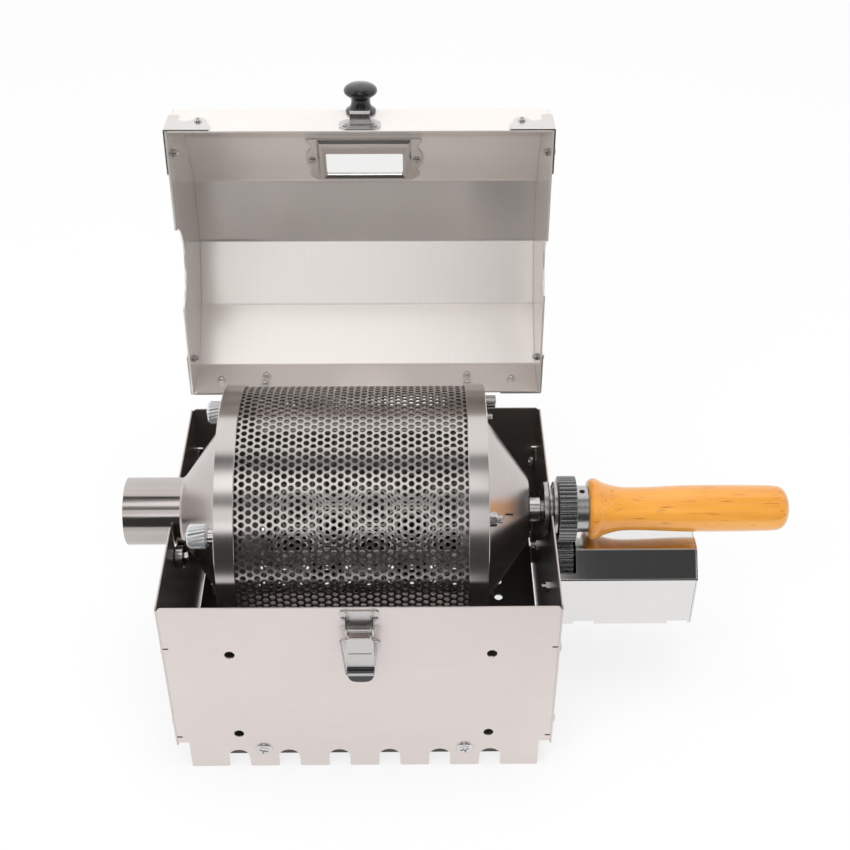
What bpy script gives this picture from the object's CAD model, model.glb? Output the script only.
import math

import bmesh
import bpy
from mathutils import Matrix, Vector


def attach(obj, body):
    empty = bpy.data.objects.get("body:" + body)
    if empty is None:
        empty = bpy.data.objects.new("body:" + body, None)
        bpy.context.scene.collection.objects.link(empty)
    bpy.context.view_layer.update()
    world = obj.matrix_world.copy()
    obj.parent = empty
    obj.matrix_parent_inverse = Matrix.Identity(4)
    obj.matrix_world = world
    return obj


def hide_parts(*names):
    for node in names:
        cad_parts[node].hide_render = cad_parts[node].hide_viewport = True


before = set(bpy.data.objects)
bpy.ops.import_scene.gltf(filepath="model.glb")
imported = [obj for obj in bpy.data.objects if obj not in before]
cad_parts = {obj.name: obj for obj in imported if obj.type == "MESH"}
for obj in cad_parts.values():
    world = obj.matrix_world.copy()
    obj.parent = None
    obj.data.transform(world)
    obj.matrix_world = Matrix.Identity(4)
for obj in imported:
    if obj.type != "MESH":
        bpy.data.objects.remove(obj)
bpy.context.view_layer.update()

MM = 0.001
SCENE = bpy.context.scene

# Sizes of the roaster in millimetres, the same as in the part's source
SHEET = 1.2
HALF = 125
INNER = 123.7
FRONT = -0.6
BACK = 195.5
RIM = 153
WALL_LOW = 22.3
SKIRT = 116.5
AXIS_Y = 97.5
AXIS_Z = 144
DRUM_LEFT = -89
DRUM_RIGHT = 80
BAND = 84
SLEEVE = 82.5
BAND_WIDE = 12.8
CONE_BASE = 62
NECK = 22.4
NECK_END = -156
NECK_ROOT = -118.3
CONE_END = 109.5
CONE_TIP = 22
STUD_CIRCLE = 70
STUD_ANGLE = 29.5
BOLT_ANGLE = 37.5
HINGE_Y = 203.5
HINGE_Z = 153
LID_ANGLE = 95.3
LID_BACK = -6.7
LID_WALL = 37.6
LID_FACET = 48
LID_SLOPES = (90, 47.5, 26, 0, -26, -47.5, -90)
COVER_FRONT = 69
COVER_BACK = 127
COVER_LOW = 63
COVER_TOP = 120
PINION_Z = 101.84
ROLLER_REACH = 30.45
ROLLER_ANGLE = 38
BEARING_SLOT = 14.56
SHAFT_BORE = 6.06
TEETH = 42
GEAR_FACE = 129.4
GEAR_WIDE = 11.6
GRIP_RIGHT = DRUM_LEFT - 4.5
HANDLE_START = 149.2
LEVER_AXIS = (-6, 138.5)

# Limits and small values of the mesh work, and shared tints of the steels
CORE = 0.01
MANY_FACES = 30000
SCRATCH_WIDE = 0.0009
HEATED = (0.33, 0.29, 0.26)
RUBBED = (0.86, 0.85, 0.84)


# Shader node helpers
def fill(tree, item, inputs):
    """Set inputs of a node by name or number: an output is linked, a constant is set."""
    for key, value in inputs.items():
        if hasattr(value, "is_output"):
            tree.links.new(value, item.inputs[key])
        else:
            item.inputs[key].default_value = value
    return item


def node(tree, kind, inputs=None, **settings):
    item = tree.nodes.new(kind)
    for key, value in settings.items():
        setattr(item, key, value)
    return fill(tree, item, inputs or {})


def calc(tree, operation, first, second=None, clamp=False):
    inputs = {0: first} if second is None else {0: first, 1: second}
    return node(tree, "ShaderNodeMath", inputs, operation=operation, use_clamp=clamp).outputs[0]


def noise(tree, point, scale, detail=2, roughness=0.5):
    inputs = {"Vector": point, "Scale": scale, "Detail": detail, "Roughness": roughness}
    return node(tree, "ShaderNodeTexNoise", inputs).outputs["Fac"]


def object_point(tree):
    return node(tree, "ShaderNodeTexCoord").outputs["Object"]


def object_noise(tree, scale, detail=3, stretch=(1, 1, 1)):
    scaled = node(tree, "ShaderNodeMapping", {"Vector": object_point(tree), "Scale": stretch})
    return noise(tree, scaled.outputs[0], scale, detail)


def relief(tree, height, strength, distance):
    inputs = {"Strength": strength, "Distance": distance, "Height": height}
    return node(tree, "ShaderNodeBump", inputs).outputs[0]


def shade_colour(tree, colour, factor):
    """The colour multiplied by a varying factor."""
    return node(tree, "ShaderNodeVectorMath", {0: colour, "Scale": factor}, operation="SCALE").outputs[0]


def mix_colour(tree, mask, first, second):
    """From the first colour where the mask is 0 to the second where it is 1."""
    inputs = {0: mask, 6: first, 7: (*second, 1) if isinstance(second, tuple) else second}
    return node(tree, "ShaderNodeMix", inputs, data_type="RGBA").outputs[2]


def mix_value(tree, factor, first, second):
    return node(tree, "ShaderNodeMix", {0: factor, 2: first, 3: second}, data_type="FLOAT").outputs[0]


def new_group(name, inputs, outputs):
    """A shader group with inputs (name, kind, default) and float outputs."""
    tree = bpy.data.node_groups.new(name, "ShaderNodeTree")
    for label, kind, value in inputs:
        socket = tree.interface.new_socket(label, in_out="INPUT", socket_type="NodeSocket" + kind)
        socket.default_value = value
    for label in outputs:
        tree.interface.new_socket(label, in_out="OUTPUT", socket_type="NodeSocketFloat")
    return tree, tree.nodes.new("NodeGroupInput").outputs, tree.nodes.new("NodeGroupOutput")


def brushed_group():
    """Fine drawn lines over slow clouds: a shade value, a roughness value and a height."""
    tree, start, end = new_group(
        "brushed grain",
        [("Stretch", "Vector", (40, 40, 1500)), ("Contrast", "Float", 0.3), ("Cloud", "Float", 0.3)],
        ["Shade", "Rough", "Height"])
    point = object_point(tree)
    stretched = node(tree, "ShaderNodeVectorMath", {0: point, 1: start["Stretch"]}, operation="MULTIPLY")
    lines = noise(tree, stretched.outputs[0], 1, 3, 0.65)
    clouds = noise(tree, point, 14, 4)
    streak = calc(tree, "MULTIPLY", calc(tree, "SUBTRACT", lines, 0.5), start["Contrast"])
    haze = calc(tree, "MULTIPLY", calc(tree, "SUBTRACT", clouds, 0.5), start["Cloud"])
    total = calc(tree, "ADD", streak, haze)
    fill(tree, end, {"Shade": calc(tree, "ADD", total, 1), "Rough": total, "Height": lines})
    return tree


def edge_group():
    """A mask that is 1 on rubbed or broken edges."""
    tree, start, end = new_group(
        "edge wear", [("Width", "Float", 0.0006), ("Amount", "Float", 1)], ["Mask"])
    soft = node(tree, "ShaderNodeBevel", {"Radius": start["Width"]}, samples=4).outputs[0]
    hard = node(tree, "ShaderNodeNewGeometry").outputs["Normal"]
    dot = node(tree, "ShaderNodeVectorMath", {0: soft, 1: hard}, operation="DOT_PRODUCT")
    bent = calc(tree, "SUBTRACT", 1, dot.outputs["Value"], clamp=True)
    strong = calc(tree, "MULTIPLY", bent, 6, clamp=True)
    speck = calc(tree, "ADD", noise(tree, object_point(tree), 300), 0.3)
    broken = calc(tree, "MULTIPLY", strong, speck, clamp=True)
    fill(tree, end, {"Mask": calc(tree, "MULTIPLY", broken, start["Amount"])})
    return tree


def scratch_group():
    """Thin crossing scratches as a mask."""
    tree, start, end = new_group(
        "scratches", [("Scale", "Float", 30), ("Amount", "Float", 1)], ["Mask"])
    point = object_point(tree)
    total = 0
    for turn, squash in ((0.5, 0.04), (2.1, 0.05), (-0.9, 0.03)):
        bent = node(tree, "ShaderNodeMapping", {
            "Vector": point, "Rotation": (turn, turn * 0.4, turn * 1.7), "Scale": (squash, 1, 1)})
        cells = node(tree, "ShaderNodeTexVoronoi", {"Vector": bent.outputs[0], "Scale": start["Scale"]},
                     feature="DISTANCE_TO_EDGE")
        thin = calc(tree, "LESS_THAN", cells.outputs["Distance"], SCRATCH_WIDE)
        some = calc(tree, "GREATER_THAN", noise(tree, point, 45 + 9 * turn), 0.6)
        total = calc(tree, "MAXIMUM", total, calc(tree, "MULTIPLY", thin, some))
    fill(tree, end, {"Mask": calc(tree, "MULTIPLY", total, start["Amount"], clamp=True)})
    return tree


BRUSHED = brushed_group()
EDGES = edge_group()
SCRATCHES = scratch_group()


# Materials
def plain_material(name, colour, metallic, roughness):
    material = bpy.data.materials.new(name)
    material.use_nodes = True
    tree = material.node_tree
    shader = tree.nodes["Principled BSDF"]
    fill(tree, shader, {"Base Color": (*colour, 1), "Metallic": metallic, "Roughness": roughness})
    material.diffuse_color = (*colour, 1)
    return material, tree, shader


def box_inside(tree):
    """A mask that is 1 between the walls of the box."""
    place = node(tree, "ShaderNodeSeparateXYZ", {0: object_point(tree)}).outputs
    masks = []
    for axis, low, high in (("X", -HALF, HALF), ("Y", FRONT, BACK)):
        above = calc(tree, "GREATER_THAN", place[axis], (low + 0.7) * MM)
        below = calc(tree, "LESS_THAN", place[axis], (high - 0.7) * MM)
        masks.append(calc(tree, "MULTIPLY", above, below))
    return calc(tree, "MULTIPLY", *masks)


def steel(name, colour, roughness, stretch, contrast, cloud, bump, wear, scratch=0, inside=None, metal=1):
    """Sheet or turned steel with drawn grain, rubbed edges, scratches and a darker heated inside."""
    material, tree, shader = plain_material(name, colour, metal, roughness)
    grain = node(tree, "ShaderNodeGroup", {"Stretch": stretch, "Contrast": contrast, "Cloud": cloud},
                 node_tree=BRUSHED).outputs
    tint = shade_colour(tree, colour, grain["Shade"])
    rough = calc(tree, "ADD", calc(tree, "MULTIPLY", grain["Rough"], 0.5), roughness, clamp=True)
    if inside:
        heated = shade_colour(tree, HEATED, grain["Shade"])
        tint = mix_colour(tree, inside(tree), tint, heated)
    if scratch:
        marks = node(tree, "ShaderNodeGroup", {"Scale": 44, "Amount": scratch}, node_tree=SCRATCHES).outputs[0]
        tint = mix_colour(tree, marks, tint, (0.9, 0.9, 0.9))
        rough = calc(tree, "ADD", rough, calc(tree, "MULTIPLY", marks, 0.35), clamp=True)
    rubbed = node(tree, "ShaderNodeGroup", {"Width": 0.0005, "Amount": wear}, node_tree=EDGES).outputs[0]
    tint = mix_colour(tree, rubbed, tint, RUBBED)
    fill(tree, shader, {
        "Base Color": tint, "Roughness": rough, "Normal": relief(tree, grain["Height"], bump, 0.0002)})
    return material


def varnished_wood():
    material, tree, shader = plain_material("varnished wood", (0.72, 0.30, 0.05), 0, 0.28)
    ramp = node(tree, "ShaderNodeValToRGB", {"Fac": object_noise(tree, 60, 5, (0.12, 1, 1))})
    for stop, place, colour in zip(ramp.color_ramp.elements, (0.3, 0.72),
                                   ((0.72, 0.265, 0.027, 1), (0.93, 0.43, 0.055, 1))):
        stop.position = place
        stop.color = colour
    fleck = object_noise(tree, 900, 1, (0.07, 1, 1))
    dark = calc(tree, "MULTIPLY", calc(tree, "SUBTRACT", fleck, 0.62, clamp=True), 5, clamp=True)
    fill(tree, shader, {
        "Base Color": mix_colour(tree, dark, ramp.outputs["Color"], (0.36, 0.125, 0.025)),
        "Normal": relief(tree, fleck, 0.08, 0.0003), "Coat Weight": 0.8, "Coat Roughness": 0.12})
    return material


def moulded(name, colour, roughness, coat, grain):
    """Plastic or rubber with a faint moulded texture."""
    material, tree, shader = plain_material(name, colour, 0, roughness)
    cloud = object_noise(tree, 220)
    factor = calc(tree, "ADD", calc(tree, "MULTIPLY", cloud, 0.3), 0.85)
    fill(tree, shader, {
        "Base Color": shade_colour(tree, colour, factor),
        "Roughness": calc(tree, "ADD", calc(tree, "MULTIPLY", cloud, 0.12), roughness - 0.06),
        "Normal": relief(tree, object_noise(tree, 1800, 1), grain, 0.0003),
        "Coat Weight": coat, "Coat Roughness": 0.05})
    return material


def window_glass():
    material, tree, shader = plain_material("window glass", (0.98, 0.99, 0.98), 0, 0.02)
    smear = calc(tree, "MULTIPLY", object_noise(tree, 70, 4), 0.04)
    fill(tree, shader, {"Transmission Weight": 1, "Roughness": smear})
    return material


# Each steel: colour, roughness, grain stretch, contrast, cloud, bump, wear and, on the cover, scratches
PANEL = steel("brushed panel", (0.77, 0.70, 0.675), 0.34, (30, 30, 1400), 0.12, 0.12, 0.04, 0.4,
              inside=box_inside, metal=0.85)
WALL = steel("side wall", (0.70, 0.64, 0.61), 0.34, (30, 30, 1400), 0.14, 0.14, 0.04, 0.6,
             inside=box_inside, metal=0.85)
HOOD = steel("hood sheet", (0.87, 0.82, 0.785), 0.24, (1200, 40, 40), 0.1, 0.12, 0.02, 0.4, metal=0.6)
GUARD = steel("corner guard", (0.74, 0.71, 0.69), 0.22, (60, 900, 900), 0.15, 0.2, 0.02, 0.5)
BAND_STEEL = steel("brushed band", (0.64, 0.60, 0.58), 0.19, (2200, 14, 14), 0.1, 0.2, 0.012, 0.3)
CONE_STEEL = steel("spun cone", (0.60, 0.55, 0.53), 0.24, (1500, 20, 20), 0.16, 0.25, 0.03, 0.2)
SLEEVE_STEEL = steel("punched sleeve", (0.56, 0.53, 0.505), 0.22, (230, 230, 230), 0.5, 0.3, 0.5, 0)
NECK_STEEL = steel("neck tube", (0.52, 0.48, 0.46), 0.15, (26, 900, 900), 0.3, 0.3, 0.05, 0.2)
MIRROR = steel("polished cover", (0.80, 0.79, 0.78), 0.07, (1000, 30, 30), 0.06, 0.1, 0.01, 0.4, 0.3)
GEAR_STEEL = steel("machined gear", (0.36, 0.36, 0.365), 0.28, (900, 60, 60), 0.4, 0.5, 0.06, 0.8)
HUB_STEEL = steel("turned hub", (0.52, 0.51, 0.50), 0.26, (1600, 30, 30), 0.35, 0.4, 0.08, 0.5)
ZINC = steel("bright fastener", (0.72, 0.71, 0.70), 0.2, (200, 200, 200), 0.2, 0.3, 0.02, 0.5)
LATCH_STEEL = steel("latch plate", (0.62, 0.60, 0.59), 0.24, (90, 90, 1200), 0.25, 0.35, 0.03, 0.7)
DARK_STEEL = steel("sooted steel", (0.10, 0.095, 0.09), 0.42, (60, 60, 700), 0.3, 0.6, 0.03, 0.15)
CAST_ALLOY = steel("cast alloy", (0.86, 0.87, 0.89), 0.34, (300, 300, 300), 0.15, 0.4, 0.06, 0.4)
WOOD = varnished_wood()
BLACK = moulded("black gloss", (0.012, 0.012, 0.013), 0.14, 0.5, 0)
BLACK_DIP = moulded("dipped tip", (0.015, 0.015, 0.016), 0.22, 0.3, 0.03)
RUBBER = moulded("foot rubber", (0.022, 0.022, 0.023), 0.62, 0, 0.1)
RED = moulded("rocker red", (0.72, 0.035, 0.03), 0.25, 0.3, 0)
SHIELD = moulded("bearing shield", (0.03, 0.03, 0.032), 0.45, 0, 0.03)
GLASS = window_glass()


# Mesh helpers
def cosd(angle):
    return math.cos(math.radians(angle))


def sind(angle):
    return math.sin(math.radians(angle))


def placed(axis_u, axis_v, axis_w, origin=(0, 0, 0)):
    """Matrix that takes local u, v, w in millimetres to metres in the frame."""
    matrix = (Matrix((axis_u, axis_v, axis_w)).transposed() * MM).to_4x4()
    matrix.translation = [value * MM for value in origin]
    return matrix


FLAT = placed((1, 0, 0), (0, 1, 0), (0, 0, 1))
FRONT_VIEW = placed((1, 0, 0), (0, 0, 1), (0, 1, 0))
SIDE_VIEW = placed((0, 1, 0), (0, 0, 1), (1, 0, 0))
SPIN_AXIS = placed((1, 0, 0), (0, 1, 0), (0, 0, 1), (0, AXIS_Y, AXIS_Z))
LID = Matrix.Translation((0, HINGE_Y * MM, HINGE_Z * MM)) @ Matrix.Rotation(math.radians(-LID_ANGLE), 4, "X") @ FLAT


def mesh_of(bm, name):
    mesh = bpy.data.meshes.new(name)
    bm.to_mesh(mesh)
    bm.free()
    return mesh


def add_object(name, data):
    item = bpy.data.objects.new(name, data)
    SCENE.collection.objects.link(item)
    return item


def flat_corners(bm, smooth):
    """Corner normals weighted by area, so that flat sheet stays flat up to its rounded edges."""
    bm.normal_update()
    bm.faces.index_update()
    limit = cosd(smooth)
    areas = [face.calc_area() for face in bm.faces]
    corners = []
    for face in bm.faces:
        for loop in face.loops:
            total = face.normal * areas[face.index]
            for other in loop.vert.link_faces:
                if other is not face and face.normal.dot(other.normal) > limit:
                    total = total + other.normal * areas[other.index]
            corners.append(total.normalized() if total.length else face.normal.copy())
    return corners


def make(name, bm, material, body, replaces=(), smooth=32, matrix=FLAT):
    """Turn a bmesh in millimetres into a finished piece that rides on a body."""
    bm.transform(matrix)
    bmesh.ops.recalc_face_normals(bm, faces=bm.faces[:])
    if bm.calc_volume(signed=True) < 0:
        bmesh.ops.reverse_faces(bm, faces=bm.faces[:])
    corners = flat_corners(bm, smooth) if len(bm.faces) < MANY_FACES else None
    mesh = mesh_of(bm, name)
    mesh.materials.append(material)
    mesh.shade_smooth()
    if corners:
        mesh.normals_split_custom_set(corners)
    else:
        mesh.set_sharp_from_angle(angle=math.radians(smooth))
    piece = add_object(name, mesh)
    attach(piece, body)
    if replaces:
        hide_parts(*replaces)


def soften(bm, width, angle=35):
    """Round every edge that is sharper than the angle."""
    edges = [edge for edge in bm.edges
             if len(edge.link_faces) == 2 and edge.calc_face_angle(0) > math.radians(angle)]
    if edges:
        bmesh.ops.bevel(bm, geom=edges, offset=width, segments=2, affect="EDGES", profile=0.5, material=-1,
                        clamp_overlap=True)


def moved(bm, x=0, y=0, z=0):
    bmesh.ops.translate(bm, verts=bm.verts[:], vec=(x, y, z))
    return bm


def swung(bm, angle, axis):
    bmesh.ops.rotate(bm, verts=bm.verts[:], cent=(0, 0, 0), matrix=Matrix.Rotation(math.radians(angle), 3, axis))
    return bm


def ring_of(bm, points):
    """A closed wire through the points."""
    verts = [bm.verts.new((*point, 0) if len(point) == 2 else point) for point in points]
    for first, second in zip(verts, verts[1:] + verts[:1]):
        bm.edges.new((first, second))


def plate(outline, thick, holes=(), inner=(), start=0, edge=0.25):
    """A flat sheet from an outline, with round holes (u, v, radius) and inner cut outlines."""
    bm = bmesh.new()
    ring_of(bm, outline)
    for u, v, radius in holes:
        bmesh.ops.create_circle(bm, segments=28, radius=radius, matrix=Matrix.Translation((u, v, 0)))
    for loop in inner:
        ring_of(bm, loop)
    bmesh.ops.triangle_fill(bm, edges=bm.edges[:], use_beauty=True, normal=(0, 0, 1))
    bmesh.ops.dissolve_limit(bm, angle_limit=0.02, verts=bm.verts[:], edges=bm.edges[:])
    grown = bmesh.ops.extrude_face_region(bm, geom=bm.faces[:])
    top = [item for item in grown["geom"] if isinstance(item, bmesh.types.BMVert)]
    bmesh.ops.translate(bm, verts=top, vec=(0, 0, thick))
    moved(bm, z=start)
    bmesh.ops.recalc_face_normals(bm, faces=bm.faces[:])
    if edge:
        soften(bm, edge, 60)
    return bm


def arc(u, v, radius, start, stop, steps):
    angles = [start + (stop - start) * i / steps for i in range(steps + 1)]
    return [(u + radius * cosd(angle), v + radius * sind(angle)) for angle in angles]


def rounded(points, radius, steps=4):
    """The outline with every corner rounded."""
    result = []
    count = len(points)
    for i in range(count):
        before, here, after = (Vector(points[(i + k) % count]) for k in (-1, 0, 1))
        reach = min(radius, (before - here).length / 2.05, (after - here).length / 2.05)
        first = here + (before - here).normalized() * reach
        last = here + (after - here).normalized() * reach
        for k in range(steps + 1):
            t = k / steps
            spot = first * (1 - t) ** 2 + here * 2 * t * (1 - t) + last * t ** 2
            result.append((spot.x, spot.y))
    return result


def block(low, high, edge):
    """A box between two corners with eased edges."""
    bm = bmesh.new()
    middle = [(a + b) / 2 for a, b in zip(low, high)]
    sizes = [b - a for a, b in zip(low, high)]
    bmesh.ops.create_cube(bm, size=1, matrix=Matrix.Translation(middle) @ Matrix.Diagonal((*sizes, 1)))
    soften(bm, min(edge, min(sizes) * 0.45))
    return bm


def turned(profile, steps=96, edge=0):
    """A body turned about the x axis from a closed profile of (x, radius)."""
    bm = bmesh.new()
    ring_of(bm, [(x, radius, 0) for x, radius in profile])
    bmesh.ops.spin(bm, geom=bm.verts[:] + bm.edges[:], cent=(0, 0, 0), axis=(1, 0, 0), angle=math.tau,
                   steps=steps, use_merge=True)
    bmesh.ops.remove_doubles(bm, verts=bm.verts[:], dist=0.001)
    bmesh.ops.recalc_face_normals(bm, faces=bm.faces[:])
    if edge:
        soften(bm, edge, 28)
    return bm


def gather(parts):
    """One bmesh from several."""
    whole = bmesh.new()
    for part in parts:
        mesh = mesh_of(part, "part")
        whole.from_mesh(mesh)
        bpy.data.meshes.remove(mesh)
    return whole


def fold(bm, corners, reach, side=1, steps=4):
    """Fold a flat sheet: v runs along the outer polyline (p, q), w is the depth from the outside."""
    spots = [Vector(corner) for corner in corners]
    marks = [0]
    for first, second in zip(spots, spots[1:]):
        marks.append(marks[-1] + (second - first).length)
    for mark in marks[1:-1]:
        for k in range(-steps, steps + 1):
            bmesh.ops.bisect_plane(bm, geom=bm.verts[:] + bm.edges[:] + bm.faces[:], dist=0.0001,
                                   plane_co=(0, mark + reach * k / steps, 0), plane_no=(0, 1, 0))
    for vert in bm.verts:
        u, along, deep = vert.co
        leg = max(k for k in range(len(marks) - 1) if k == 0 or along >= marks[k])
        ahead = (spots[leg + 1] - spots[leg]).normalized()
        spot = spots[leg] + ahead * (along - marks[leg])
        for k in range(1, len(marks) - 1):
            t = (along - marks[k] + reach) / (2 * reach)
            if 0 < t < 1:
                back = (spots[k] - spots[k - 1]).normalized()
                front = (spots[k + 1] - spots[k]).normalized()
                start = spots[k] - back * reach
                stop = spots[k] + front * reach
                spot = start * (1 - t) ** 2 + spots[k] * 2 * t * (1 - t) + stop * t ** 2
                ahead = ((spots[k] - start) * (1 - t) + (stop - spots[k]) * t).normalized()
        vert.co = (u, spot.x - side * ahead.y * deep, spot.y + side * ahead.x * deep)
    bmesh.ops.recalc_face_normals(bm, faces=bm.faces[:])
    return bm


def along_x(bm):
    """A part drawn in u, v is turned so that its thickness runs along x."""
    bm.transform(Matrix(((0, 0, 1, 0), (1, 0, 0, 0), (0, 1, 0, 0), (0, 0, 0, 1))))
    return bm


def upright(bm):
    """A part drawn in u, v stands up: its y and z change places."""
    bm.transform(Matrix(((1, 0, 0, 0), (0, 0, 1, 0), (0, 1, 0, 0), (0, 0, 0, 1))))
    return bm


def curved(points, steps=4):
    """A smooth line through the points."""
    result = []
    for i in range(len(points) - 1):
        a, b, c, d = (Vector(points[min(max(i + k, 0), len(points) - 1)]) for k in (-1, 0, 1, 2))
        for k in range(steps):
            t = k / steps
            spot = ((b * 2) + (c - a) * t + (a * 2 - b * 5 + c * 4 - d) * t ** 2 +
                    (b * 3 - a - c * 3 + d) * t ** 3) / 2
            result.append((spot.x, max(spot.y, CORE)))
    result.append(tuple(points[-1]))
    return result


def reshape(bm, rule):
    """Scale every vertex away from the x axis by rule(x, radius, angle in degrees)."""
    for vert in bm.verts:
        radius = math.hypot(vert.co.y, vert.co.z)
        factor = rule(vert.co.x, radius, math.degrees(math.atan2(vert.co.z, vert.co.y)) % 360)
        vert.co.y *= factor
        vert.co.z *= factor
    return bm


def hexagon_reach(angle):
    """Reach of a hexagon in a direction, as a share of its corner radius."""
    return cosd(30) / cosd(angle % 60 - 30)


def screw_head(radius, high, socket, six=True):
    """A domed head along x with a hexagon or cross recess."""
    dome = [(0.3 + (high - 0.3) * sind(a) / sind(60), radius * cosd(a)) for a in (15, 30, 45, 58)]
    profile = [(0, CORE), (0, radius), (0.3, radius)] + dome
    profile += [(high, socket * 1.12), (high, socket), (high - 1.1, socket * 0.9), (high - 1.1, CORE)]

    def rule(x, size, angle):
        if size > socket * 1.01 or x < high - 1.2:
            return 1
        if six:
            return hexagon_reach(angle)
        return min(1, 0.36 / max(abs(sind(2 * angle)), 0.01))

    return reshape(turned(profile, 72), rule)


def hexagon(x, wide, thick, bore=CORE, edge=0.35):
    """A chamfered hexagon nut or bolt head along x."""
    radius = wide / math.sqrt(3)
    profile = [(x, bore), (x, radius * 0.86), (x + edge, radius), (x + thick - edge, radius),
               (x + thick, radius * 0.86), (x + thick, bore)]

    def rule(_, size, angle):
        return min(1, radius * hexagon_reach(angle) / size) if size > bore * 1.5 else 1

    return reshape(turned(profile, 72), rule)


def ball_nut(x, wide, thick):
    """A domed cap over a hexagon, seen inside the hood."""
    cap = turned([(x + thick, CORE), (x + thick, wide * 0.42), (x + thick + 1.2, wide * 0.38),
                  (x + thick + 2.1, wide * 0.2), (x + thick + 2.3, CORE)], 32)
    return gather([hexagon(x, wide, thick), cap])


# Housing: front and back panels with bent flanges, side walls, screws and feet
def panel_outline():
    points = [(-SKIRT, 0)]
    for i in range(6):
        middle = (i - 2.5) * 33.65
        points += [(middle - 8, 0), (middle - 7.2, 0.5)] + arc(middle, 10, 7, 180, 0, 16)
        points += [(middle + 7.2, 0.5), (middle + 8, 0)]
    points += [(SKIRT, 0), (SKIRT, 25), (INNER, 25)]
    for low in (30.2, 116.2):
        points += [(INNER, low), (INNER - 3, low)] + arc(INNER - 3, low + 0.65, 0.65, -90, -270, 6)[1:-1]
        points += [(INNER - 3, low + 1.3), (INNER, low + 1.3)]
    points += arc(INNER - 2.5, RIM - 2.5, 2.5, 0, 90, 5)
    mirrored = [(-u, v) for u, v in reversed(points[points.index((SKIRT, 0)) + 1:])]
    return points + mirrored


PANEL_HOLES = [(side * 82.5, level, 3.25) for side in (-1, 1) for level in (34, 111)]
for name, start, node_name in (("front_sheet", FRONT, "housing_front_panel"),
                               ("back_sheet", BACK - SHEET, "housing_back_panel")):
    sheets = [plate(panel_outline(), SHEET, PANEL_HOLES, start=start, edge=0.22)]
    near = 0.6 if start < 0 else BACK - 14
    for side in (-1, 1):
        outline = rounded([(near, 31.8), (near + 12.8, 31.8), (near + 12.8, 115.9), (near, 115.9)], 2)
        flange = plate(outline, SHEET, start=INNER - SHEET if side > 0 else -INNER, edge=0.2)
        sheets.append(upright(along_x(flange)))
    make(name, gather(sheets), PANEL, "housing", (node_name,), matrix=FRONT_VIEW, smooth=25)

for name, side, slot in (("left", -1, NECK + 2.2), ("right", 1, BEARING_SLOT)):
    points = [(FRONT + 0.1, WALL_LOW), (BACK - 0.1, WALL_LOW)] + arc(BACK - 2.6, RIM - 2.5, 2.5, 0, 90, 5)
    points += arc(AXIS_Y + slot + 2, RIM - 2, 2, 90, 180, 4) + arc(AXIS_Y, AXIS_Z, slot, 0, -180, 48)
    points += arc(AXIS_Y - slot - 2, RIM - 2, 2, 0, 90, 4) + arc(FRONT + 2.6, RIM - 2.5, 2.5, 90, 180, 5)
    make(name + "_wall_sheet", plate(points, SHEET + 0.1, start=INNER if side > 0 else -HALF, edge=0.22), WALL,
         "housing", ("housing_side_" + name,), matrix=SIDE_VIEW)

heads = []
nuts = []
for side in (-1, 1):
    for y in (FRONT + 8, BACK - 8):
        for z in (39.5, 108.2):
            head = screw_head(3.9, 2, 1.5)
            heads.append(moved(swung(head, 180 if side < 0 else 0, "Z"), side * HALF, y, z))
            nut = ball_nut(0, 6.4, 2.4)
            nuts.append(moved(swung(nut, 0 if side < 0 else 180, "Z"), side * (INNER - 2.5), y, z))
make("corner_screw_heads", gather(heads), ZINC, "housing", ("housing_corner_screws",))
make("corner_nuts", gather(nuts), ZINC, "housing")
heads = []
for side in (-1, 1):
    for back in (0, 1):
        head = swung(swung(screw_head(5.7, 1.75, 3.1, six=False), 18 * side, "X"), 90 if back else -90, "Z")
        heads.append(moved(head, side * 67, BACK if back else FRONT, 18))
make("truss_screw_heads", gather(heads), ZINC, "housing", ("housing_truss_screws",))

feet = []
for x in (12.5 - HALF, HALF - 12.5):
    for y in (18, BACK - 18):
        foot = turned([(0, CORE), (0, 4.6), (0.9, 5.5), (2, 6), (19.5, 7), (22, 7), (23, 6.6),
                       (23, CORE)], 40)
        feet.append(moved(swung(foot, -90, "Y"), x, y, 0))
make("rubber_feet", gather(feet), RUBBER, "housing", ("housing_feet",))


# Perforated sleeve: one cell of sheet round each hole, repeated round and along the drum
ROUND = 104
COLUMNS = 34
PITCH = 360 / ROUND
SPACING = 4.33
HOLE = 1.88


def sleeve_part(first, last):
    """Columns of cells of the sleeve, outside and inside skins with walls in the holes."""
    tall = math.radians(PITCH) * SLEEVE
    edge = [(0.5, 0), (0.5, 0.5), (0.25, 0.5), (0, 0.5), (-0.25, 0.5), (-0.5, 0.5), (-0.5, 0),
            (-0.5, -0.5), (-0.25, -0.5), (0, -0.5), (0.25, -0.5), (0.5, -0.5)]
    flat = [(u * SPACING, v * tall) for u, v in edge]
    hole = [(HOLE * cosd(30 * k), HOLE * sind(30 * k)) for k in range(12)]
    points = []
    faces = []
    start_x = (DRUM_LEFT + DRUM_RIGHT) / 2 - (COLUMNS - 1) * SPACING / 2
    for column in range(first, last):
        for row in range(ROUND):
            base = len(points)
            centre = (row + 0.5 * (column % 2)) * tall
            for radius in (SLEEVE, SLEEVE - 1):
                for u, v in flat + hole:
                    turn = (centre + v) / SLEEVE
                    points.append((start_x + column * SPACING + u, radius * math.cos(turn), radius * math.sin(turn)))
            for k in range(12):
                m = (k + 1) % 12
                for a, b in ((0, 12), (36, 24), (12, 36)):
                    faces.append([base + a + k, base + a + m, base + b + m, base + b + k])
    mesh = bpy.data.meshes.new("cells")
    mesh.from_pydata(points, [], faces)
    bm = bmesh.new()
    bm.from_mesh(mesh)
    bpy.data.meshes.remove(mesh)
    bmesh.ops.remove_doubles(bm, verts=bm.verts[:], dist=0.01)
    return bm


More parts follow.
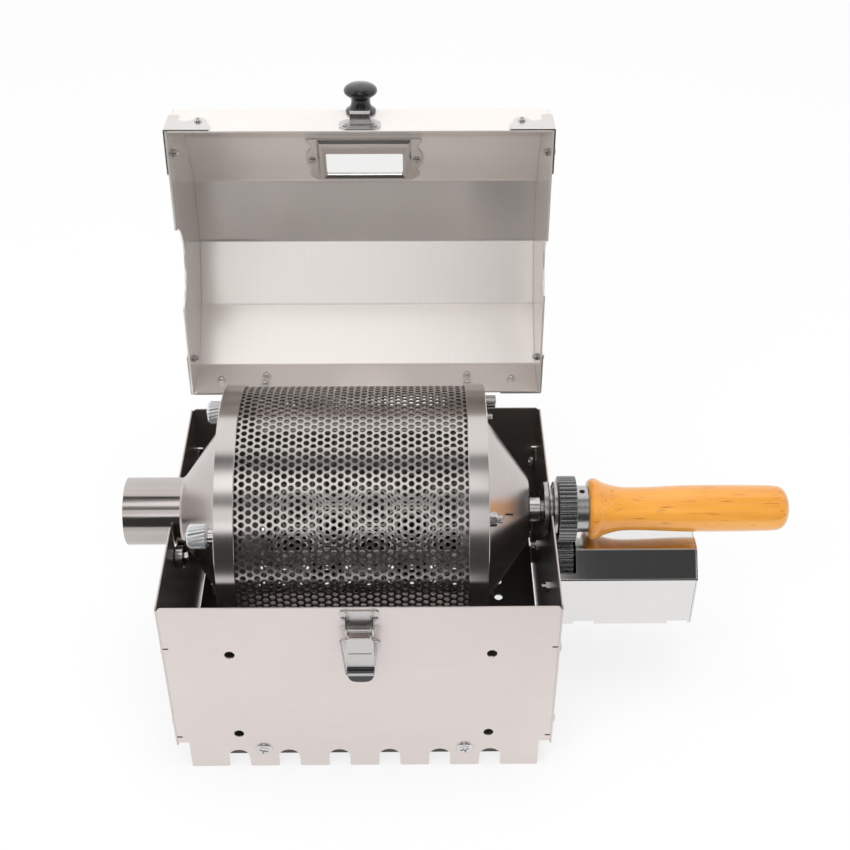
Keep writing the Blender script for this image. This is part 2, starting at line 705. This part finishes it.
make("drum_sleeve_left", sleeve_part(0, COLUMNS // 2), SLEEVE_STEEL, "drum", ("drum_mesh_sleeve",),
     matrix=SPIN_AXIS, smooth=50)
make("drum_sleeve_right", sleeve_part(COLUMNS // 2, COLUMNS), SLEEVE_STEEL, "drum", matrix=SPIN_AXIS,
     smooth=50)

# End bands with a rolled lip, cones and filling neck
for name, start, stop in (("left", DRUM_LEFT, DRUM_LEFT + BAND_WIDE), ("right", DRUM_RIGHT - BAND_WIDE, DRUM_RIGHT)):
    profile = [(start, SLEEVE + 0.08), (start, BAND - 0.5), (start + 0.5, BAND), (stop - 0.5, BAND),
               (stop, BAND - 0.5), (stop, SLEEVE + 0.08)]
    make("drum_band_sheet_" + name, turned(profile, 160, 0.12), BAND_STEEL, "drum",
         ("drum_band_" + name,), matrix=SPIN_AXIS, smooth=50)
profile = [(DRUM_LEFT, SLEEVE - 0.1), (DRUM_LEFT, CONE_BASE + 3), (DRUM_LEFT - 0.35, CONE_BASE + 1.2),
           (DRUM_LEFT - 1.5, CONE_BASE - 1.2), (NECK_ROOT + 2, NECK + 2.6), (NECK_ROOT + 0.6, NECK + 1),
           (NECK_ROOT - 0.4, NECK + 0.35), (NECK_ROOT - 0.4, NECK + 0.02), (NECK_ROOT + 1.2, NECK + 0.02),
           (DRUM_LEFT + 1.2, CONE_BASE - 1.6), (DRUM_LEFT + 1.2, SLEEVE - 0.1)]
make("left_cone", turned(profile, 128), CONE_STEEL, "drum", ("drum_end_left",), matrix=SPIN_AXIS)
profile = [(NECK_END, NECK - 1.1), (NECK_END, NECK - 0.2), (NECK_END + 0.2, NECK), (NECK_ROOT - 0.5, NECK),
           (NECK_ROOT + 1.1, NECK - 0.1), (NECK_ROOT + 1.1, NECK - 1.2), (NECK_END + 0.2, NECK - 1.2)]
make("neck_tube", turned(profile, 128), NECK_STEEL, "drum", ("drum_neck",), matrix=SPIN_AXIS)
profile = [(DRUM_RIGHT, SLEEVE - 0.1), (DRUM_RIGHT, CONE_BASE + 3), (DRUM_RIGHT + 0.35, CONE_BASE + 1.2),
           (DRUM_RIGHT + 1.5, CONE_BASE - 1.2), (CONE_END - 1, CONE_TIP + 1.2), (CONE_END - 0.2, CONE_TIP + 0.2),
           (CONE_END, CONE_TIP - 0.8), (CONE_END, SHAFT_BORE), (CONE_END - 1.2, SHAFT_BORE),
           (CONE_END - 1.2, CONE_TIP - 1), (DRUM_RIGHT - 1.2, CONE_BASE - 1.6), (DRUM_RIGHT - 1.2, SLEEVE - 0.1)]
make("right_cone", turned(profile, 128), CONE_STEEL, "drum", ("drum_end_right",), matrix=SPIN_AXIS)
slits = []
slope = math.degrees(math.atan2(CONE_BASE - CONE_TIP, CONE_END - DRUM_RIGHT))
for k in range(4):
    slit = block((-3.4, -0.6, -0.05), (3.4, 0.6, 0.05), 0.02)
    moved(swung(slit, -slope - 180, "Y"), (DRUM_RIGHT + CONE_END) / 2, 0, (CONE_BASE + CONE_TIP) / 2 + 0.06)
    slits.append(swung(slit, 90 * k + 52, "X"))
make("cone_slits", gather(slits), DARK_STEEL, "drum", matrix=SPIN_AXIS)


# Bolts and thumb nuts on the drum ends
def on_circle(angle):
    return -STUD_CIRCLE * cosd(angle), STUD_CIRCLE * sind(angle)


bolts = []
for i in range(3):
    stack = [turned([(DRUM_RIGHT, CORE), (DRUM_RIGHT, 5), (DRUM_RIGHT + 1, 4.9), (DRUM_RIGHT + 1, CORE)], 40),
             hexagon(DRUM_RIGHT + 1, 8, 4),
             turned([(DRUM_RIGHT + 5, CORE)] + [(DRUM_RIGHT + 5 + 0.4 * k, 2.5 if k % 2 else 2.15)
                                                 for k in range(9)] + [(DRUM_RIGHT + 8.8, CORE)], 24)]
    bolts.append(moved(gather(stack), 0, *on_circle(BOLT_ANGLE + 120 * i)))
make("right_bolts", gather(bolts), ZINC, "drum", ("drum_right_bolts",), matrix=SPIN_AXIS)


def flutes(x, size, turn):
    """Slanting flutes of the thumb nuts."""
    return 1 if size < 7.4 else 1 - 0.05 * (1 - cosd(20 * turn + 30 * (x - GRIP_RIGHT)))


for i in range(3):
    grip = [(GRIP_RIGHT - 1.3 - 1.05 * k, 7.8) for k in range(10)]
    profile = [(GRIP_RIGHT, 2.6), (GRIP_RIGHT, 6.2), (GRIP_RIGHT - 0.9, 6.9)] + grip
    profile += [(GRIP_RIGHT - 11.9, 7.1), (GRIP_RIGHT - 12.6, 6.2), (GRIP_RIGHT - 12.2, 4.6), (GRIP_RIGHT - 12.2, 2.6)]
    nut = moved(reshape(turned(profile, 120), flutes), 0, *on_circle(STUD_ANGLE + 120 * i))
    make("thumb_nut_grip_%d" % (i + 1), nut, CAST_ALLOY, "thumb_nut_%d" % (i + 1),
         ("drum_thumb_nut_%d" % (i + 1),), matrix=SPIN_AXIS, smooth=45)

# Lock nut, grooved bearing, gears and wooden handle
make("lock_nut", hexagon(110, 14, 8, SHAFT_BORE, 0.6), ZINC, "drum", ("drum_lock_nut",),
     matrix=SPIN_AXIS)
profile = [(119.6, SHAFT_BORE), (128.6, SHAFT_BORE), (128.6, 18.5), (126.3, 18.5), (125.1, 14.5), (123.7, 14.5),
           (122.4, 18.5), (119.6, 18.5)]
make("grooved_bearing", turned(profile, 96, 0.35), HUB_STEEL, "bearing", ("drum_bearing",),
     matrix=SPIN_AXIS)

# One side of a tooth from root to tip: degrees from its middle and radius
FLANK = [(3.9, 19.76), (3.1, 19.95), (2.65, 20.45), (2.05, 21.1), (1.5, 21.6), (0.95, 21.98)]


def gear(bore, turn, y, z):
    """A spur gear with eased tooth edges."""
    outline = []
    for k in range(TEETH):
        centre = 360 * k / TEETH + turn
        for offset, radius in [(-angle, radius) for angle, radius in FLANK] + FLANK[::-1]:
            outline.append((radius * cosd(centre + offset), radius * sind(centre + offset)))
    return moved(along_x(plate(outline, GEAR_WIDE, [(0, 0, bore)], start=GEAR_FACE, edge=0.18)), 0, y, z)


make("drum_gear_teeth", gear(SHAFT_BORE, 90, AXIS_Y, AXIS_Z), GEAR_STEEL, "drum", ("drum_gear",),
     smooth=28)
make("pinion_teeth", gear(3.56, 90 + 360 / (2 * TEETH), AXIS_Y, PINION_Z), GEAR_STEEL, "pinion",
     ("motor_pinion_gear",), smooth=28)
start = HANDLE_START
profile = [(start, SHAFT_BORE), (start, 17.1)] + curved([
    (start + 0.4, 18.6), (start + 1.8, 19.9), (start + 4, 20.5), (start + 6.6, 19.9), (start + 9.5, 18.1),
    (start + 13, 16.8), (start + 20, 15), (start + 29, 14.35), (start + 44, 14.65), (start + 66, 15.5),
    (start + 92, 15.6), (start + 112, 15.4), (275, 14.9), (279.4, 13.2), (282.1, 9.6), (283.3, 5), (283.5, CORE)],
    3) + [(start + 61, CORE), (start + 61, SHAFT_BORE)]
make("handle_wood", turned(profile), WOOD, "drum", ("drum_handle",), matrix=SPIN_AXIS, smooth=50)

# Ball bearings under the neck
for name, sign in (("roller_front", -1), ("roller_back", 1)):
    spot = (AXIS_Y + sign * ROLLER_REACH * cosd(ROLLER_ANGLE),
            AXIS_Z - ROLLER_REACH * sind(ROLLER_ANGLE))
    ring_profile = [(-123.3, 6.7), (-123.3, 7.7), (-123, 8), (-118.6, 8), (-118.3, 7.7), (-118.3, 6.7)]
    inner_profile = [(-123.3, 2.06), (-118.3, 2.06), (-118.3, 4.1), (-123.3, 4.1)]
    race = gather([turned(ring_profile, 64), turned(inner_profile, 48)])
    make(name + "_races", moved(race, 0, *spot), ZINC, name, (name,))
    shield = turned([(-122.9, 4.1), (-118.7, 4.1), (-118.7, 6.7), (-122.9, 6.7)], 48)
    make(name + "_shields", moved(shield, 0, *spot), SHIELD, name)

# Motor box: folded cover, end plate and switch
outline = [(125.1, 0), (143, 0), (143, 2.6), (157.2, 2.6), (157.2, 0), (207.5, 0), (207.5, 2.6), (221.7, 2.6),
           (221.7, 0), (222.8, 0), (222.8, 154.4), (125.1, 154.4), (125.1, 101.1), (142.4, 101.1), (142.4, 46.8),
           (125.1, 46.8)]
ridge = [(COVER_FRONT, COVER_LOW), (COVER_FRONT, 105), (84, COVER_TOP), (112, COVER_TOP),
         (COVER_BACK, 105), (COVER_BACK, COVER_LOW)]
make("motor_cover_sheet", fold(plate(outline, SHEET, edge=0.15), ridge, 1.1, -1), MIRROR, "housing",
     ("motor_cover",), smooth=22)
hole = [(85.2, 78.2), (98.8, 78.2), (98.8, 97.8), (85.2, 97.8)]
make("motor_end_plate", along_x(plate(rounded(ridge, 1.5), SHEET, inner=[hole], start=222.9, edge=0.3)), MIRROR,
     "housing")
outer = rounded([(84, 77), (100, 77), (100, 99), (84, 99)], 1.6)
inner = rounded([(86.6, 79.6), (97.4, 79.6), (97.4, 96.4), (86.6, 96.4)], 0.8)
bezel = along_x(plate(outer, 1.5, inner=[inner], start=224.1, edge=0.35))
well = along_x(plate([(85.4, 78.4), (98.6, 78.4), (98.6, 97.6), (85.4, 97.6)], 11.9, inner=[inner], start=212.2,
                     edge=0))
make("switch_bezel", gather([bezel, well]), BLACK, "housing", ("switch_housing",))
side_shape = [(220.1, 80.4), (226.5, 80.4)] + curved([(226.6, 80.6), (225.7, 84), (225.5, 88), (226.6, 92),
                                                     (228.4, 95)]) + [(226.8, 95.5), (220.1, 95.5)]
rocker = upright(plate(side_shape, 10, start=87, edge=0.4))
make("switch_paddle", rocker, RED, "rocker", ("switch_rocker",))

# Hood: folded shell with the window opening, sides with arches
HOOD_LEGS = (LID_WALL - 0.3, *5 * (LID_FACET,), LID_WALL - 0.3)
ridge = [(LID_BACK, 0.3)]
for angle, length in zip(LID_SLOPES, HOOD_LEGS):
    y, z = ridge[-1]
    ridge.append((y - length * cosd(angle), z + length * sind(angle)))
FORE = ridge[-1][0]
WINDOW_V = HOOD_LEGS[0] + 3 * LID_FACET + 20.3
total = sum(HOOD_LEGS)
outline = rounded([(-INNER, 0), (INNER, 0), (INNER, total), (-INNER, total)], 1.5)
window = rounded([(-27, WINDOW_V - 11), (27, WINDOW_V - 11), (27, WINDOW_V + 11), (-27, WINDOW_V + 11)], 1)
make("hood_sheet", fold(plate(outline, SHEET, inner=[window], edge=0.2), ridge, 1.8, 1, 5), HOOD, "lid",
     ("lid_shell",), matrix=LID, smooth=22)
for name, side, radius in (("left", -1, 30), ("right", 1, 21.5)):
    lean = math.degrees(math.asin(5.3 / radius))
    arch = [(u, max(v, 0.3)) for u, v in arc(LID_BACK - 99.3, -5, radius, 180 - lean, lean, 36)]
    sheet = along_x(plate(ridge + arch, SHEET + 0.1, start=INNER if side > 0 else -HALF, edge=0.2))
    make("hood_side_" + name, sheet, HOOD, "lid", ("lid_side_" + name,), matrix=LID)

shape = rounded([(0.3, 0), (6, 0), (10, 4), (15, 5), (19.5, 7), (21, 11), (19.5, 15), (16.5, 17.5), (14.3, 20.5),
                 (15.2, 24.5), (18.5, 27), (22.5, 28), (26, 27.4), (26, 33), (26, 39.4), (22.5, 38.8), (18.5, 39.6),
                 (15.2, 42), (14.3, 45), (16.5, 48), (19.5, 50), (21, 53.5), (19.5, 57), (15, 59), (10, 59.6),
                 (6, 62), (0.3, 62)], 1.6, 3)
guards = []
heads = []
nuts = []
for side in (-1, 1):
    for ahead in (0, 1):
        guard = fold(plate(shape, 1, [(15, 10, 1.5), (15, 53, 1.5)], edge=0.12),
                     [(HALF + 1, FORE - 1 + 32), (HALF + 1, FORE - 1), (HALF - 29, FORE - 1)], 1.2, -1)
        guard.transform(Matrix(((0, side, 0, 0), (0, 0, 1, 0), (1, 0, 0, 0), (0, 0, 0, 1))))
        if not ahead:
            guard.transform(Matrix(((1, 0, 0, 0), (0, -1, 0, LID_BACK + FORE), (0, 0, 1, 0), (0, 0, 0, 1))))
        guards.append(guard)
        side_y = FORE + 21 if ahead else LID_BACK - 21
        face_y = FORE if ahead else LID_BACK
        way = -1 if ahead else 1
        outward = 180 if side < 0 else 0
        for angle, x, y in ((outward, side * (HALF + 1), side_y), (90 * way, side * (HALF - 20), face_y + way)):
            heads.append(moved(swung(screw_head(2.8, 1.9, 1.5, six=False), angle, "Z"), x, y, 15))
        for angle, x, y in ((180 - outward, side * (INNER - 0.1), side_y),
                            (-90 * way, side * (HALF - 20), face_y - way * 1.3)):
            nuts.append(moved(swung(ball_nut(0, 5, 2), angle, "Z"), x, y, 15))
    for level in (9.5, 20.5):
        nuts.append(moved(swung(ball_nut(0, 5, 2), -90, "Z"), side * 73, LID_BACK - 1.3, level))
make("hood_corner_guards", gather(guards), GUARD, "lid", ("lid_corner_guards",), matrix=LID)
make("hood_corner_heads", gather(heads), ZINC, "lid", ("lid_corner_screws",), matrix=LID)
make("hood_cap_nuts", gather(nuts), ZINC, "lid", matrix=LID)

# Window: glass strip held by a scalloped frame on the inside of the hood
lean = math.radians(-26)
spot = ridge[4]
ahead = (-math.cos(lean), math.sin(lean))
inward = (-ahead[1], ahead[0])
FACET = LID @ Matrix(((1, 0, 0, 0), (0, ahead[0], inward[0], spot[0]), (0, ahead[1], inward[1], spot[1]),
                      (0, 0, 0, 1)))
half_shape = [(33.4, 21.8), (39.5, 21.8), (40.8, 19.6), (38.8, 16.2), (37.4, 13), (38.8, 10), (40.8, 6.6), (41.5, 2.2),
              (41.2, -2.2), (39.4, -6.2), (37.4, -8.6), (37.6, -11.2), (39.2, -14), (38.4, -17.4), (35.6, -19.6),
              (33.4, -21.8)]
outline = rounded(half_shape + [(-u, v) for u, v in reversed(half_shape)], 1.2, 3)
flange = moved(plate(outline, 1, [(37, 0, 1.6), (-37, 0, 1.6)],
                     [[(-30, -19), (30, -19), (30, 18), (-30, 18)]], edge=0.15), 0, 24, 1.4)
bm = bmesh.new()
loops = []
for reach, low, high, deep in ((33.4, 2.6, 45.4, 1.5), (33.2, 2.8, 45.2, 2.6), (31.4, 4.6, 43.2, 4.4),
                               (29.4, 6.8, 35.2, 4.6), (27.2, 9.1, 31.5, 3.2), (27, 9.3, 31.3, 1.9),
                               (29.4, 7.4, 33, 1.9)):
    corner = [(-reach, low), (reach, low), (reach, high), (-reach, high)]
    loops.append([bm.verts.new((u, v, deep)) for u, v in rounded(corner, 1.2, 3)])
for first, second in zip(loops, loops[1:]):
    for k in range(len(first)):
        m = (k + 1) % len(first)
        bm.faces.new((first[k], first[m], second[m], second[k]))
make("window_frame_sheet", gather([flange, bm]), GUARD, "lid", ("lid_window_frame",), matrix=FACET,
     smooth=24)
heads = [moved(swung(screw_head(2.9, 1.6, 1.5, six=False), -90, "Y"), x, 24, 2.4) for x in (-37, 37)]
make("window_screw_heads", gather(heads), ZINC, "lid", ("lid_window_screws",), matrix=FACET)
make("window_pane", block((-31, 5.3, 1.4), (31, 35.3, 2.4), 0.15), GLASS, "lid", ("lid_window_glass",),
     matrix=FACET)

# Knob and catch on the front of the hood
profile = curved([(0, 9.9), (0.7, 10), (1.8, 9.7), (3.6, 7.4), (7, 6.3), (10.2, 7.2), (12.2, 9.6), (13.6, 10.8),
                  (15, 11), (16.6, 10.3), (18.2, 8), (19.05, 4.5), (19.55, CORE)])
knob = turned([(0, CORE)] + profile, 72)
make("hood_knob", moved(swung(knob, -90, "Z"), 0, FORE - 0.02, 33), BLACK, "lid", ("lid_knob",),
     matrix=LID, smooth=50)
outline = [(-13.5, 5.5), (-9, 1), (9, 1), (13.5, 5.5), (13.5, 13.5), (9, 18), (-9, 18), (-13.5, 13.5)]
leaf = upright(plate(rounded(outline, 1), 1, start=FORE - 1))
hook = fold(plate([(-6.5, 0), (6.5, 0), (6.5, 15.8), (-6.5, 15.8)], 1.2, edge=0.2),
            [(FORE - 1, 14.8), (FORE - 1.4, 10.2), (FORE - 7.9, 10.2), (FORE - 7.9, 14.5)], 0.8, 1, 3)
rivets = [moved(swung(screw_head(1.7, 0.9, 0.4), -90, "Z"), x, FORE - 1, 6.5) for x in (-10, 10)]
make("hood_catch", gather([leaf, hook] + rivets), LATCH_STEEL, "lid", ("lid_catch",), matrix=LID)


# Toggle latch
def tube(points, radius, sides=14):
    """A round wire along a smooth line."""
    bm = bmesh.new()
    spots = [Vector(point) for point in points]
    rings = []
    normal = Vector((0, 1, 0))
    for i, spot in enumerate(spots):
        ahead = (spots[min(i + 1, len(spots) - 1)] - spots[max(i - 1, 0)]).normalized()
        across = ahead.cross(normal).normalized()
        above = across.cross(ahead)
        normal = above
        rings.append([bm.verts.new(spot + (across * math.cos(math.tau * k / sides) +
                                           above * math.sin(math.tau * k / sides)) * radius) for k in range(sides)])
    for first, second in zip(rings, rings[1:]):
        for k in range(sides):
            bm.faces.new((first[k], first[(k + 1) % sides], second[(k + 1) % sides], second[k]))
    bm.faces.new(rings[0])
    bm.faces.new(rings[-1][::-1])
    return bm


parts = [upright(plate(rounded([(-12, 138), (12, 138), (12, 151), (-12, 151)], 2), 1, start=FRONT - 1))]
for side in (-1, 1):
    ear = rounded([(-1.6, 151.5), (-1.6, 135.2), (-8.9, 135.2), (-8.9, 142), (-5.2, 151.5)], 2.4, 5)
    parts.append(along_x(plate(ear, 1, start=7.7 if side > 0 else -8.7, edge=0.2)))
    parts.append(moved(swung(screw_head(1.6, 0.8, 0.4), -90, "Z"), side * 10.2, FRONT - 1, 144.5))
profile = [(-9.2, CORE), (-9.2, 1.5), (-8.7, 1.9), (-8.7, 1.15), (8.7, 1.15), (8.7, 1.9), (9.2, 1.5), (9.2, CORE)]
parts.append(moved(turned(profile, 24), 0, *LEVER_AXIS))
make("latch_base_plate", gather(parts), LATCH_STEEL, "housing", ("latch_base",))
outline = [(-7.4, 110), (-8.7, 111), (-8.7, 132.5), (-7.4, 136), (7.4, 136), (8.7, 132.5), (8.7, 111), (7.4, 110)]
face = upright(plate(rounded(outline, 1.2), 1, start=-10.2, edge=0.3))
parts = [face, block((-7.2, -10.7, 117.5), (7.2, -10.1, 122.5), 0.25)]
for side in (-1, 1):
    cheek = rounded([(-10, 128.2), (-3.8, 128.2), (-3.6, 141), (-8.4, 141), (-10, 137)], 1.8)
    parts.append(along_x(plate(cheek, 0.95, [(*LEVER_AXIS, 1.26), (-7.2, 131.5, 1.06)],
                               start=6.42 if side > 0 else -7.38, edge=0.2)))
make("latch_lever_plate", gather(parts), LATCH_STEEL, "latch_lever", ("latch_lever",))
outline = [(-8.7, 110.2), (8.7, 110.2), (8.7, 102), (6.6, 97.6), (3.2, 96.4), (-3.2, 96.4), (-6.6, 97.6), (-8.7, 102)]
tip = upright(plate(rounded(outline, 2, 5), 2.6, start=-11, edge=0.9))
make("latch_black_tip", tip, BLACK_DIP, "latch_lever", ("latch_lever_tip",))
half_wire = [(4.9, -7.2, 131.5), (11.2, -7.2, 131.5), (11.9, -7.35, 130.9), (12, -7.9, 128.6), (10.6, -10.4, 117.5),
             (9.3, -12.8, 107.6), (8.7, -13, 106.8), (7.9, -13, 106.5)]
path = half_wire + [(-x, y, z) for x, y, z in reversed(half_wire)]
make("latch_wire_bail", tube(path, 1), ZINC, "latch_bail", ("latch_bail",), smooth=60)


# Carried-over nodes get their finish
for material, node_names in (
        (DARK_STEEL, ("housing_heat_spreader", "motor_base", "drum_set_screw")), (WALL, ("housing_foot_brackets",)),
        (ZINC, ("roller_bolts", "motor_mount_screws", "hinge_pins", "drum_left_studs")), (CAST_ALLOY, ("motor_body",)),
        (LATCH_STEEL, ("motor_mount_tabs", "hinge_fixed_leaves", "hinge_lid_leaves")), (CONE_STEEL, ("drum_vanes",)),
        (HUB_STEEL, ("motor_output_shaft", "drum_shaft", "drum_hub"))):
    for node_name in node_names:
        carried = bpy.data.objects[node_name]
        if not carried.material_slots:
            carried.data.materials.append(None)
        for place in carried.material_slots:
            place.material = material


# Floor, light and camera
def span(tree, value, low, high, soft):
    """A soft-edged window between two values."""
    sides = []
    for start, stop in ((low - soft, low + soft), (high + soft, high - soft)):
        inputs = {"Value": value, "From Min": start, "From Max": stop}
        sides.append(node(tree, "ShaderNodeMapRange", inputs, interpolation_type="SMOOTHSTEP").outputs["Result"])
    return calc(tree, "MULTIPLY", *sides)


def ray_kinds(tree):
    """Two masks: rays that the camera sees straight or through glass, and rays that steel mirrors."""
    path = node(tree, "ShaderNodeLightPath").outputs
    seen = calc(tree, "ADD", path["Is Camera Ray"], path["Is Transmission Ray"], clamp=True)
    return seen, path["Is Glossy Ray"]


def white_floor():
    """Pale paper. The steel mirrors it only up to its edges near the front, and a dark below beyond them."""
    material, tree, shader = plain_material("studio floor", (0.93, 0.93, 0.93), 0, 0.85)
    place = node(tree, "ShaderNodeSeparateXYZ", {0: object_point(tree)}).outputs
    near = span(tree, place["Y"], -0.24, 9, 0.03)
    strip = calc(tree, "MULTIPLY", span(tree, place["Y"], -0.52, -0.22, 0.03),
                 span(tree, place["X"], -0.6, 0.085, 0.012))
    paper = calc(tree, "MAXIMUM", near, calc(tree, "MULTIPLY", strip, 0.85))
    paper = calc(tree, "ADD", calc(tree, "MULTIPLY", paper, 0.88), 0.05)
    drift = calc(tree, "ADD", calc(tree, "MULTIPLY", object_noise(tree, 1.2, 1), 0.02), 0.92)
    seen, mirrored = ray_kinds(tree)
    tone = mix_value(tree, mirrored, drift, paper)
    fill(tree, shader, {"Base Color": shade_colour(tree, (1, 1, 1), tone), "Specular IOR Level": 0.1})
    glow = node(tree, "ShaderNodeEmission", {"Strength": mix_value(tree, mirrored, 1, paper)})
    share = calc(tree, "MULTIPLY", calc(tree, "ADD", seen, mirrored, clamp=True), 0.8)
    blend = node(tree, "ShaderNodeMixShader", {0: share, 1: shader.outputs[0], 2: glow.outputs[0]})
    fill(tree, tree.nodes["Material Output"], {"Surface": blend.outputs[0]})
    return material


bm = bmesh.new()
bmesh.ops.create_grid(bm, x_segments=4, y_segments=4, size=4)
floor = add_object("studio_floor", mesh_of(bm, "studio_floor"))
floor.data.materials.append(white_floor())

# An even white world for the camera and a soft grey one for matt faces. Only the steel mirrors its bright
# patches: level, turn from the front and rise above the ground in degrees, and the width of the soft edge
UPPER_LEVEL = 0.33
world = bpy.data.worlds.new("studio")
SCENE.world = world
world.use_nodes = True
tree = world.node_tree
way = node(tree, "ShaderNodeSeparateXYZ", {0: node(tree, "ShaderNodeTexCoord").outputs["Generated"]}).outputs
ahead = calc(tree, "MULTIPLY", way["Y"], -1)
turn = calc(tree, "DEGREES", calc(tree, "ARCTAN2", way["X"], ahead))
rise = calc(tree, "DEGREES", calc(tree, "ARCSINE", way["Z"]))
bright = 0.055
for level, turns, rises, soft in (
        (1.5, (-34, 10), (57, 77), 2.5), (1.45, (-16, 2.5), (23, 33), 1), (1.1, (-18, 7.5), (33, 46), 2),
        (0.5, (2.5, 40), (23, 33), 1), (UPPER_LEVEL, (-60, 50), (-90, 90), 3),
        (0.85, (-125, -55), (-90, 64), 8), (0.7, (55, 125), (-90, 64), 8),
        (1.05, (110, 190), (-90, 93), 3), (1.05, (-190, -110), (-90, 93), 3)):
    patch = calc(tree, "MULTIPLY", span(tree, turn, *turns, soft), span(tree, rise, *rises, soft))
    patch = calc(tree, "MULTIPLY", patch, level)
    if level == UPPER_LEVEL:
        patch = calc(tree, "MULTIPLY", patch, span(tree, rise, 49, 90, 2))
    bright = calc(tree, "MAXIMUM", bright, patch)
seen, mirrored = ray_kinds(tree)
strength = mix_value(tree, seen, mix_value(tree, mirrored, 0.8, bright), 1)
fill(tree, tree.nodes["Background"], {"Color": (1, 1, 1, 1), "Strength": strength})


def lamp(name, place, aim, size, power):
    light = bpy.data.lights.new(name, "AREA")
    light.shape = "RECTANGLE"
    light.size, light.size_y = size
    light.energy = power
    item = add_object(name, light)
    item.location = place
    item.visible_glossy = False
    item.rotation_euler = (Vector(aim) - Vector(place)).to_track_quat("-Z", "Y").to_euler()


lamp("key", (-0.75, -0.9, 1.25), (0, 0.1, 0.15), (0.7, 0.7), 7)
lamp("top", (0.2, 0.15, 1.6), (0, 0.1, 0.15), (0.9, 0.6), 7)

SCENE.view_settings.view_transform = "Standard"
tilt, yaw, roll = (math.radians(angle) for angle in (39.14, 0.727, 0.204))
forward = Vector((math.sin(yaw) * math.cos(tilt), math.cos(yaw) * math.cos(tilt), -math.sin(tilt)))
across = Vector((math.cos(yaw), -math.sin(yaw), 0))
upward = across.cross(forward)
right = math.cos(roll) * across + math.sin(roll) * upward
above = -math.sin(roll) * across + math.cos(roll) * upward
camera = add_object("camera", bpy.data.cameras.new("camera"))
camera.matrix_world = Matrix((right, above, -forward)).transposed().to_4x4()
camera.location = (0.03211, -0.6027, 0.78671)
camera.data.lens = 60.23
camera.data.sensor_width = 36
SCENE.camera = camera
